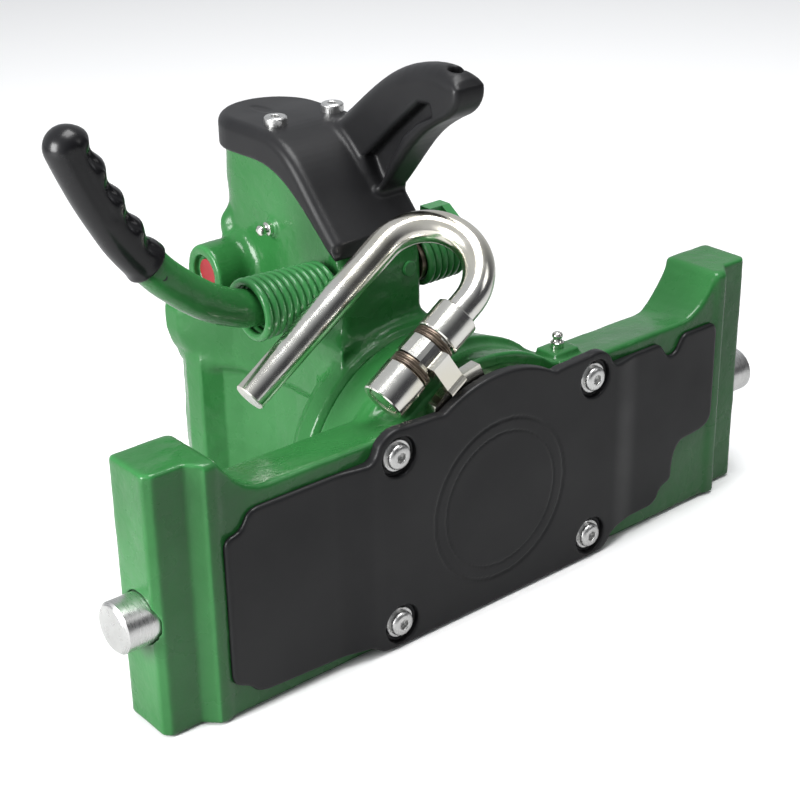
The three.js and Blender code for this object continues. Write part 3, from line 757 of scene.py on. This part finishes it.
def head_casting():
    low = (HEAD_LOW[0] - 4, 69, -3)
    grid = Grid(low, (HEAD_HIGH[0] + 7, HEAD_HIGH[1] + 3, HEAD_HIGH[2] + 3), 1.4)
    x, y, z = grid.x, grid.y, grid.z
    lower, upper = jaw(x, y, z)
    body = merge(head_flange(np.hypot(x, z - ROLL_Z), y, z), lower, 14)
    body = merge(body, upper, 5)
    body = merge(body, tower(x, y, z), 9)
    indicator_boss = round_bar(y - BOSS[1], z - BOSS[2], x, 19.5, (-76, -30), 2.5)
    body = merge(body, indicator_boss, 9)
    swelling = np.sqrt((x + 43) ** 2 + (y - 212) ** 2 + ((z - 213) / 1.6) ** 2) - 7
    body = merge(body, swelling, 5)
    nipple_boss = round_bar(y - 158, z - 226, x, 6, (-48.5, -40), 1)
    body = merge(body, nipple_boss, 3)
    body = meet(body, 1.4 - z, 2)
    body = body + lumps(grid, 18, 0.55, 7) + lumps(grid, 7, 0.22, 8)
    body = carve(body, mouth(x, y, z), 4)
    body = carve(body, tower_wells(grid))
    pin_bore = np.maximum(np.hypot(x - PIN_X, y - PIN_Y) - PIN_BORE, z - PIN_BORE_TOP)
    body = carve(body, pin_bore)
    body = carve(body, np.hypot(y - LEVER[1], z - LEVER[2]) - SHAFT_BORE + 0 * x)
    body = carve(body, indicator_bore(grid), 0.8)
    made = skin("cast_head", grid, body, "head", "cast_green")
    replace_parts(made, "head_housing")


def neck_shaft():
    profile = [(0, -6), (23, -6), (24, -5), (24, 20), (28, 20), (28, 73), (0, 73)]
    turned("neck_shaft", profile, (0, 0, ROLL_Z), (0, 1, 0), "head", "steel")


# ------------------------------------------------------------------------- black mouldings
SCREW_ASIDE = 84
SCREW_RISE = 59
SCREW_LOBE = 19
COVER_DOME = 89


def cover_outline():
    """Front view, counterclockwise from the right end of the top edge."""
    low = COVER_LOW[2]
    lobe_right = arc((SCREW_ASIDE, ROLL_Z + SCREW_RISE), SCREW_LOBE, 35, 106, 8)
    dome = arc((0, ROLL_Z), COVER_DOME, 58, 122, 24)
    lobe_left = arc((-SCREW_ASIDE, ROLL_Z + SCREW_RISE), SCREW_LOBE, 74, 145, 8)
    points = bend((210, 131), (209, 139), (203, 139))
    points += bend((179, 139), (171, 139), (173, 127), (163, 127))
    points += curve((163, 127), (156, 127), (156, 139), (147, 139))
    points += [*bend((108, 139), (102, 139), lobe_right[0]), *lobe_right[1:]]
    points += [(56, 152.5), *dome, (-56, 152.5), *lobe_left]
    points += curve(lobe_left[-1], (-102, 137), (-108, 136.5))
    points += bend((-186, 136.5), (-196, 136.5), (-194, 125), (-202, 124))
    points += curve((-202, 124), (-209.5, 123), (-209.5, 117))
    points += bend((-209.5, 31), (-209.5, 20), (-199, 23), (-195, 16))
    points += curve((-195, 16), (-192, 11.5), (-180, 11))
    points += bend((-112, 8), (-106, 8), (-102, 4))
    points += curve((-102, 4), (-99, low), (-92, low))
    points += bend((92, low), (99, low), (103, 7))
    points += curve((103, 7), (107, 13), (114, 13))
    points += bend((148, 14), (155, 15), (157, 21))
    points += curve((157, 21), (159, 26), (165, 27))
    points += curve((165, 27), (170, 28), (170, 33))
    points += curve((170, 33), (170, 56), (182, 57))
    points += curve((182, 57), (200, 58), (210, 58), (210, 72))
    return points


def front_cover():
    """Moulded plate whose middle stands proud, with two plain rings and four sunk screw seats."""
    wing_setback, proud_half, blend = 4.1, 104, 27
    seat_radius, seat_y, screw_hole = 13.2, -11, 5.8
    grid = Grid(COVER_LOW - 3, COVER_HIGH + 3, 1.1)
    x, y, z = grid.x, grid.y, grid.z
    front, back = COVER_LOW[1], COVER_HIGH[1]
    wing = front + wing_setback
    t = np.clip((np.abs(x) - proud_half) / blend, 0, 1)
    face = front + (wing - front) * t * t * (3 - 2 * t)
    body = meet(polygon(cover_outline(), x, z), face - y, 2.2)
    body = meet(body, y - back)
    around = np.hypot(x, z - ROLL_Z)
    outer_ring = np.maximum(np.abs(around - 56) - 1.1, y - (front + 0.6))
    inner_ring = np.maximum(np.abs(around - 47) - 0.6, y - (front + 0.5))
    body = carve(body, np.minimum(outer_ring, inner_ring), 0.4)
    for screw_x in (-SCREW_ASIDE, SCREW_ASIDE):
        for rise in (-SCREW_RISE, SCREW_RISE):
            middle = np.hypot(x - screw_x, z - ROLL_Z - rise)
            body = carve(body, np.maximum(middle - seat_radius, y - seat_y), 0.8)
            body = carve(body, middle - screw_hole + 0 * y)
    made = skin("moulded_front_cover", grid, body, "carrier", "moulded_black")
    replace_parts(made, "front_cover")


ARM_LEFT = 0
ARM_RIGHT = 25
HOOD_LEFT = -50
HOOD_RIGHT = 26
HOOD_ROOF = 291


def arm_outline():
    """Side view of the rope arm, from the roof over the brow to the tip and back underneath."""
    start, brow, tip, chin = (156, HOOD_ROOF - 3), (80, 340), (28, 335), (38, 315)
    points = [start]
    points += curve(start, (130, 306), (108, 330), brow, steps=12)
    points += curve(brow, (58, 347), (34, 348), tip)
    points += curve(tip, (26, 323), chin)
    points += curve(chin, (72, 298), (74, 286), (104.6, 251.8), steps=12)
    return [*points, (150, 262)]


def fender_outline():
    """Side view of the hood: flat roof, rounded bend, sloping apron and the sweeping lower rim."""
    points = [(87, 222), (87, 233), (104, 251)]
    points += curve((104, 251), (124, 272), (136, HOOD_ROOF), (164, HOOD_ROOF), steps=14)
    points += [(240, HOOD_ROOF), (240, 270.5), (199, 269.5), (175, 270.4)]
    points += curve((175, 270.4), (147, 271), (133, 260), (114, 244.5), steps=12)
    return [*points, (95, 227.7)]


def rope_arm(grid):
    """The cranked arm with a hollow in each side and a keyhole at its tip."""
    web_depth, keyhole_y, keyhole_floor = 10.5, 42, 318
    x, y, z = grid.x, grid.y, grid.z
    outline, sides = polygon(arm_outline(), y, z), slab(x, ARM_LEFT, ARM_RIGHT)
    above_middle = np.clip((z - 330 + 0.69 * (y - 45)) / 12 + 0.5, 0, 1)
    arm = meet(outline, sides, 11) * above_middle + meet(outline, sides, 4) * (1 - above_middle)
    web = [(119, 273), (92, 297), (64, 320), (54, 321), (52, 314), (66, 307), (79, 296)]
    web += [(91, 279), (101, 262), (108, 254), (114, 261)]
    hollow = np.minimum(x - ARM_LEFT - web_depth, ARM_RIGHT - web_depth - x)
    arm = carve(arm, meet(polygon(web, y, z), hollow, 2), 3)
    middle = (ARM_LEFT + ARM_RIGHT) / 2
    hole = np.hypot(x - middle, y - keyhole_y) - 4.6
    slot = np.maximum(np.abs(y - keyhole_y) - 2.4, middle - x)
    return carve(arm, np.maximum(np.minimum(hole, slot), keyhole_floor - z), 1.2)


def hood():
    """Roof and apron over the tower, with a sharp skirt along the lower rim and the rope arm."""
    corner, skirt_height, screw_hole = 9, 8, 4.4
    grid = Grid(HOOD_LOW - 3, HOOD_HIGH + 3, 1.2)
    x, y, z = grid.x, grid.y, grid.z
    plan = round_backed_plan(HOOD_LEFT + corner, HOOD_RIGHT - corner, 60, TOWER_BACK_CENTRE)
    walls = polygon(plan, x, y) - corner
    fender = polygon(fender_outline(), y, z)
    shell = meet(walls, fender, 7)
    skirt = np.maximum(np.maximum(walls, fender), polygon(fender_outline(), y, z + skirt_height))
    body = merge(np.minimum(shell, skirt), rope_arm(grid), 5)
    inside = np.maximum(polygon(tower_plan(), x, y) - 1.0, polygon(TOWER_SIDE, y, z) - 1.0)
    body = carve(body, inside)
    dent = np.maximum(np.hypot(x + 18, (y - 205) * 0.4) - 4, HOOD_ROOF - 0.5 - z)
    body = carve(body, dent, 0.4)
    for side in ("left", "right"):
        screw = np.mean(box_mm(f"hood_screw_{side}"), axis=0)
        body = carve(body, np.hypot(x - screw[0], y - screw[1]) - screw_hole + 0 * z)
    made = skin("moulded_hood", grid, body, "head", "moulded_black")
    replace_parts(made, "hood")


# ---------------------------------------------------------------------------- hand lever
LEVER_BENDS = [
    (-47, 0), (-80, 0), (-106, 0.8), (-119, 4.6), (-136.5, 12.5), (-152.3, 24), (-165.2, 35),
    (-172.5, 42.2), (-191.4, 64.3), (-202.2, 83.2), (-211.4, 100.4), (-220.1, 120), (-224.5, 131),
    (-228.5, 141.5),
]
GRIP_STARTS = 0.585
TUBE_RADIUS = 12.1
COIL_RADIUS = 16.3


def lever_line():
    """Centre line of the bent lever tube, evenly spaced."""
    count = 200
    rough = soften(LEVER_BENDS, 4)
    steps = distance_along(rough)
    across, up = resampled(rough, steps, np.linspace(0, steps[-1], count)).T
    return np.stack([across, np.full(count, LEVER[1]), up + LEVER[2]], axis=1)


def coil_line(center, axis, radius, span, turns, steps_per_turn=28):
    """Centre line of a coil. The radius is a number, or a pair for a coil that tapers."""
    axis = np.array(axis, float) / np.linalg.norm(axis)
    helper = np.array([0, 1.0, 0])
    up = np.cross(axis, helper)
    t = np.linspace(0, 1, int(turns * steps_per_turn))[:, None]
    angle = 2 * math.pi * turns * t
    along = span[0] + (span[1] - span[0]) * t
    start, end = radius if isinstance(radius, tuple) else (radius, radius)
    spread = start + (end - start) * t
    return np.array(center) + along * axis + spread * (np.cos(angle) * helper + np.sin(angle) * up)


def hand_lever():
    """The bent tube with its grip, the coil on each side of the tower and the shaft's bush."""
    line = lever_line()
    split = int(len(line) * GRIP_STARTS)
    under_grip, before_grip, wire_radius = 5, 9, 2.72
    covered = line[: split + under_grip]
    tube = swept("bent_lever_tube", covered, TUBE_RADIUS, "hand_lever", "cast_green", 40)
    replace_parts(tube, "lever_tube")
    # A black plug as painted shade for the drain hole.
    drain_hole_shade(line[split - before_grip])
    grip(line[split:])
    place = (0, LEVER[1], LEVER[2])
    coils = {
        "left": ((-109, -50), (COIL_RADIUS + 2.2, COIL_RADIUS - 0.6), 11),
        "right": ((25.5, 60), COIL_RADIUS, 6.4),
    }
    for side, (span, radius, turns) in coils.items():
        coil = coil_line(place, (1, 0, 0), radius, span, turns)
        made = swept(f"{side}_lever_coil", coil, wire_radius, "hand_lever", "cast_green", 12)
        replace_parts(made, f"{side}_return_spring")
    bush = [(10, 21.6), (14.8, 21.6), (14.8, 25), (10, 25)]
    turned("right_shaft_bush", bush, place, (1, 0, 0), "hand_lever", "spring_steel")


def drain_hole_shade(place):
    """Small black plug in the tube's front side: painted shade that stands for the dark inside of the drain hole.
    """
    radius, inner, outer = 2.1, 9.4, TUBE_RADIUS + 0.12
    profile = [(0, inner), (radius, inner), (radius, outer), (0, outer)]
    # The black plug is painted shade where the hole's inside would be dark.
    turned("drain_hole_shade", profile, place, (-0.25, -0.93, 0.1), "hand_lever", "moulded_black", 20)


def grip(line):
    """Dipped grip: finger waves inside, a pocket beside each, a long flat groove, a rounded end."""
    cap_length = 14
    inner = np.array([d if d[0] > 0 else -d for d in np.cross(frames_along(line)[0], (0, 1, 0))])
    lengths = distance_along(line)
    total = lengths[-1]
    cap_places = total - cap_length * np.cos(np.linspace(0, math.pi / 2, 22))[1:]
    fine = np.concatenate([np.linspace(0, total - cap_length, 100), cap_places])
    line, inner = (resampled(values, lengths, fine) for values in (line, inner))
    angles = np.linspace(-math.pi, math.pi, 96, endpoint=False)
    radii = np.array([[grip_radius(s / total, angle) for angle in angles] for s in fine])
    cap = np.sqrt(np.clip(1 - np.clip((fine - total + 13) / 13.2, 0, 1) ** 2, 0.003, 1))
    radii *= cap[:, None]
    sideways = np.array([0, -1.0, 0])
    rings = (
        line[:, None]
        + radii[..., None] * np.cos(angles)[None, :, None] * inner[:, None]
        + radii[..., None] * np.sin(angles)[None, :, None] * sideways
    )
    made = loft("dipped_grip", rings, "hand_lever", "grip_black")
    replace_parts(face_outward(made), "lever_grip")


def grip_radius(share, angle):
    """Radius at a share of the grip's length; angle 0 faces the fingers, 90 degrees the front."""
    fingers, plain, wave_height, lip = 4.4, 13.3, 1.8, 0.9
    pocket_angle, pocket_depth, ridge_height = 0.95, 2.2, 0.45
    groove_angle, groove_depth, groove_starts, groove_ends, steepness = 1.75, 0.9, 0.42, 0.9, 60
    phase = 2 * math.pi * (share * fingers - 0.08)
    wave = math.cos(phase) * min(1, share * 9) * min(1, (1 - share) * 7)
    facing = max(0, math.cos(angle)) ** 1.4
    radius = plain + wave_height * wave * facing
    radius += lip * math.exp(-((share / 0.03) ** 2))
    inside = min(1, share * 6) * min(1, max(0, 0.95 - share) * 10)
    valley = 0.5 - 0.5 * math.cos(phase + 0.9)
    opening = 1 / (1 + math.exp((groove_starts - share) * steepness))
    reach = opening / (1 + math.exp((share - groove_ends) * steepness))
    for side in (1, -1):
        pocket = math.exp(-(((side * angle - pocket_angle) / 0.26) ** 4)) * valley**1.5
        radius -= pocket_depth * pocket * inside
        ridge = math.exp(-(((side * angle - pocket_angle - 0.12 * math.sin(phase)) / 0.1) ** 2))
        radius += ridge_height * ridge * inside * (1 - valley)
        groove = math.exp(-(((side * angle - groove_angle) / 0.3) ** 4))
        radius -= groove_depth * groove * reach
    return radius


# ----------------------------------------------------------------------------- fold handle
ROD_RADIUS = 10.4
BEND_RADIUS = 34
LOOP_START = 83.5
LEG_LENGTH = 130
FOLDED_BACK = 64


def handle_line():
    """Centre line of the bent rod: through the barrel, around the bend and back beside itself."""
    normal = np.cross(BARREL_AXIS, (0, 1, 0))
    normal /= np.linalg.norm(normal)
    back = math.radians(FOLDED_BACK)
    out = math.cos(back) * normal + math.sin(back) * np.array([0, 1, 0])
    straight = [BARREL + s * BARREL_AXIS for s in (1.5, 20, 40, 60, 76)]
    bend = []
    for turn in np.linspace(0, math.pi, 40):
        reach = LOOP_START + BEND_RADIUS * math.sin(turn)
        bend.append(BARREL + reach * BARREL_AXIS + BEND_RADIUS * (1 - math.cos(turn)) * out)
    places = (66, 36, 6, -20, LOOP_START - LEG_LENGTH)
    leg = [BARREL + s * BARREL_AXIS + 2 * BEND_RADIUS * out for s in places]
    return np.array(straight + bend + leg)


def fold_handle():
    """The bent rod, its two turned sleeves and the torsion spring beside each."""
    rod = swept("bent_rod", handle_line(), ROD_RADIUS, "fold_handle", "zinc", 48, chamfer=0.8)
    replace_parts(rod, "handle_rod")
    bore, rim, outside = 10.8, 13.8, 14.6
    for name, (start, end) in {"left_sleeve": (0, 24), "right_sleeve": (53, 74)}.items():
        profile = [(bore, start + 1), (12.6, start), (rim, start), (outside, start + 0.8)]
        profile += [(outside, end - 0.8), (rim, end), (bore, end)]
        made = turned(f"{name}_turned", profile, BARREL, BARREL_AXIS, "fold_handle", "zinc")
        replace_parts(made, name)
    for side, span in {"left": (25.0, 30.4), "right": (46.6, 52.0)}.items():
        name = f"{side}_torsion_spring"
        coil = coil_line(BARREL, BARREL_AXIS, 13.2, span, 3.4)
        made = swept(f"{name}_coil", coil, 0.78, "fold_handle", "spring_steel", 10)
        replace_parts(made, name)


# ------------------------------------------------------------------------- small hardware
def socket_screw(name, place, axis, head_radius, head_height, body, node, flat=False):
    """Button head, or a flat cheese head, with a hexagon socket."""
    socket_size, socket_floor = head_radius * 0.36, head_height * 0.25
    place = np.array(place, float)
    reach = head_radius + 1.5
    grid = Grid(place - reach, place + reach, 0.42)
    direction = np.array(axis, float)
    offset = [grid.x - place[0], grid.y - place[1], grid.z - place[2]]
    along = sum(o * d for o, d in zip(offset, direction))
    u, v = (o for o, d in zip(offset, direction) if d == 0)
    profile = [(0, -1), (head_radius, -1)]
    if flat:
        profile += [(head_radius, head_height - 1), (head_radius - 1, head_height)]
    else:
        shoulder, crown = (head_radius, head_height * 0.4), (head_radius * 0.45, head_height)
        profile += bend(shoulder, (head_radius * 0.92, head_height), crown)
    head = polygon([*profile, (0, head_height)], np.hypot(u, v), along)
    turns = (0, math.pi / 3, 2 * math.pi / 3)
    hexagon = np.maximum.reduce([np.abs(u * math.cos(a) + v * math.sin(a)) for a in turns])
    socket = np.maximum(hexagon - socket_size, socket_floor - along)
    made = skin(name, grid, carve(head, socket, 0.3), body, "steel")
    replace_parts(made, node)


def washer(name, place, axis, body, node):
    profile = [(5.4, 0), (10.4, 0), (10.4, 1.2), (10.0, 1.6), (5.4, 1.6)]
    made = turned(name, profile, place, axis, body, "steel", 48)
    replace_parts(made, node)


def grease_nipple(name, place, axis, body, node):
    profile = [(0, -2), (3, -2), (3, 0.3), (4.6, 0.3), (4.6, 3.6), (3.4, 4.6), (2.9, 5.6), (2.9, 6.4)]
    profile += [(3.6, 7.2), (3.8, 8.4), (3.3, 9.6), (2, 10.5), (1, 10.7), (0, 10.7)]
    made = turned(name, profile, place, axis, body, "zinc", 32)
    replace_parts(made, node)


def cover_screw(key):
    """One cover screw and its washer, which faces the front."""
    washer_node, forwards = f"cover_washer_{key}", (0, -1, 0)
    low, high = box_mm(washer_node)
    x, _, z = (low + high) / 2
    washer(f"washer_{key}", (x, high[1], z), forwards, "carrier", washer_node)
    seat = (x, low[1] - 0.2, z)
    socket_screw(f"button_screw_{key}", seat, forwards, 8.4, 4.4, "carrier", f"cover_screw_{key}")


def hood_screw(column):
    node = f"hood_screw_{column}"
    x, y, _ = np.mean(box_mm(node), axis=0)
    name, seat = f"hood_cheese_screw_{column}", (x, y, HOOD_ROOF)
    socket_screw(name, seat, (0, 0, 1), 7.7, 5.6, "head", node, flat=True)


def locking_pin(column, side):
    """A pin with a lead-in chamfer on its outer end. Side is +1 on the right."""
    node = f"{column}_locking_pin"
    low, high = box_mm(node)
    radius, half = (high[2] - low[2]) / 2, (high[0] - low[0]) / 2
    profile = [(0, -half), (radius - 1, -half), (radius, 1 - half)]
    profile += [(radius, half - 2), (radius - 2, half), (0, half)]
    name, middle = f"{column}_bright_pin", (low + high) / 2
    made = turned(name, profile, middle, (side, 0, 0), f"{column}_lock", "steel", 64)
    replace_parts(made, node)


def hardware():
    for column, side in (("left", -1), ("right", 1)):
        for row in ("lower", "upper"):
            cover_screw(f"{row}_{column}")
        hood_screw(column)
        locking_pin(column, side)
    pad_top, boss_end = 150.2, -47.8
    x, y, _ = np.mean(box_mm("plate_nipple"), axis=0)
    grease_nipple("plate_grease_nipple", (x, y, pad_top), (0, 0, 1), "carrier", "plate_nipple")
    _, y, z = np.mean(box_mm("tower_nipple"), axis=0)
    grease_nipple("tower_grease_nipple", (boss_end, y, z), (-1, 0, 0), "head", "tower_nipple")
    profile = [(0, -2), (5.2, -2), (5.2, 0.5), (4.7, 0.9), (0, 0.9)]
    turned("wall_pin", profile, (9.5, TOWER_FRONT, 203.5), (0, -1, 0), "head", "cast_green", 32)


# -------------------------------------------------------------------------------- studio
def floor_paint():
    """White to the eye, darker in reflections and as bounced light, so that front faces stay deep."""
    paint = Paint("studio_floor", (0.9, 0.9, 0.9), 0.7, gloss=0.1)
    path = paint.nodes.new("ShaderNodeLightPath")
    mirrored_tone, seen_tone = (0.0, (0.55, 0.55, 0.55)), (1.0, (0.97, 0.97, 0.97))
    white = paint.ramp(path.outputs["Is Camera Ray"], [mirrored_tone, seen_tone])
    bounced = path.outputs["Is Diffuse Ray"]
    paint.color(mixed_color(paint.material.node_tree, bounced, white, (0.28, 0.28, 0.28)))
    return paint.material


def stage_floor():
    size = 6.0
    points = [(-size, -size, 0), (size, -size, 0), (size, size, 0), (-size, size, 0)]
    mesh = bpy.data.meshes.new("floor")
    mesh.from_pydata(points, [], [(0, 1, 2, 3)])
    mesh.materials.append(floor_paint())
    floor = bpy.data.objects.new("floor", mesh)
    floor.location.z = cad_bounds[0][2] - 0.0005
    bpy.context.scene.collection.objects.link(floor)


def area_light(name, place, target, size, power):
    data = bpy.data.lights.new(name, "AREA")
    data.shape = "RECTANGLE"
    data.size, data.size_y = size
    data.energy = power
    lamp = bpy.data.objects.new(name, data)
    lamp.location = place
    lamp.rotation_euler = (Vector(target) - Vector(place)).to_track_quat("-Z", "Y").to_euler()
    bpy.context.scene.collection.objects.link(lamp)


def studio():
    """White backdrop. As a light it is darker towards the front, so that front faces stay deep."""
    world = bpy.data.worlds.new("studio")
    world.use_nodes = True
    bpy.context.scene.world = world
    nodes, links = world.node_tree.nodes, world.node_tree.links
    place = nodes.new("ShaderNodeTexCoord").outputs["Generated"]
    background = nodes["Background"]
    front = nodes.new("ShaderNodeVectorMath")
    front.operation = "DOT_PRODUCT"
    front.inputs[1].default_value = (0.45, -0.89, 0.0)
    links.new(place, front.inputs[0])
    ramp = nodes.new("ShaderNodeValToRGB")
    ramp.color_ramp.elements[0].position = 0.15
    ramp.color_ramp.elements[0].color = (0.95, 0.97, 1.0, 1)
    ramp.color_ramp.elements[1].position = 0.8
    ramp.color_ramp.elements[1].color = (0.10, 0.10, 0.11, 1)
    links.new(front.outputs["Value"], ramp.inputs["Fac"])
    to_camera = nodes.new("ShaderNodeLightPath").outputs["Is Camera Ray"]
    seen = mixed_color(world.node_tree, to_camera, ramp.outputs["Color"], (1.8, 1.8, 1.8))
    links.new(seen, background.inputs["Color"])
    background.inputs["Strength"].default_value = 0.55
    middle = (0, 0.1, 0.12)
    area_light("key", (-1.5, 0.12, 0.6), middle, (0.7, 0.8), 36)
    area_light("top", (0.1, -0.1, 2.2), middle, (1.4, 1.0), 46)
    area_light("fill", (1.2, -1.6, 1.6), middle, (0.8, 0.8), 4)
    bpy.context.scene.view_settings.view_transform = "Standard"


def camera():
    """The viewing angle: azimuth and elevation of the lens from the coupling, and its roll."""
    azimuth, elevation, roll = (math.radians(v) for v in (-39.62, 25.43, -0.97))
    level = math.cos(elevation)
    back = Vector((math.sin(azimuth) * level, -math.cos(azimuth) * level, math.sin(elevation)))
    right = (-back).cross(Vector((0, 0, 1))).normalized()
    up = right.cross(-back)
    turned_right = right * math.cos(roll) + up * math.sin(roll)
    turned_up = up * math.cos(roll) - right * math.sin(roll)
    turn = Matrix((turned_right, turned_up, back)).transposed()
    distance, aside, above = 1.1594, -0.0564, 0.1273
    lens = bpy.data.cameras.new("camera")
    lens.sensor_width = 36
    lens.lens = 78.06
    lens.clip_start = 0.05
    view = bpy.data.objects.new("camera", lens)
    view.matrix_world = Matrix.Translation(turn @ Vector((aside, above, distance))) @ turn.to_4x4()
    bpy.context.scene.collection.objects.link(view)
    bpy.context.scene.camera = view


# ------------------------------------------------------------------------------- assembly
dress_cad_nodes()
slide_plate()
head_casting()
neck_shaft()
front_cover()
hood()
hand_lever()
fold_handle()
hardware()
stage_floor()
studio()
camera()
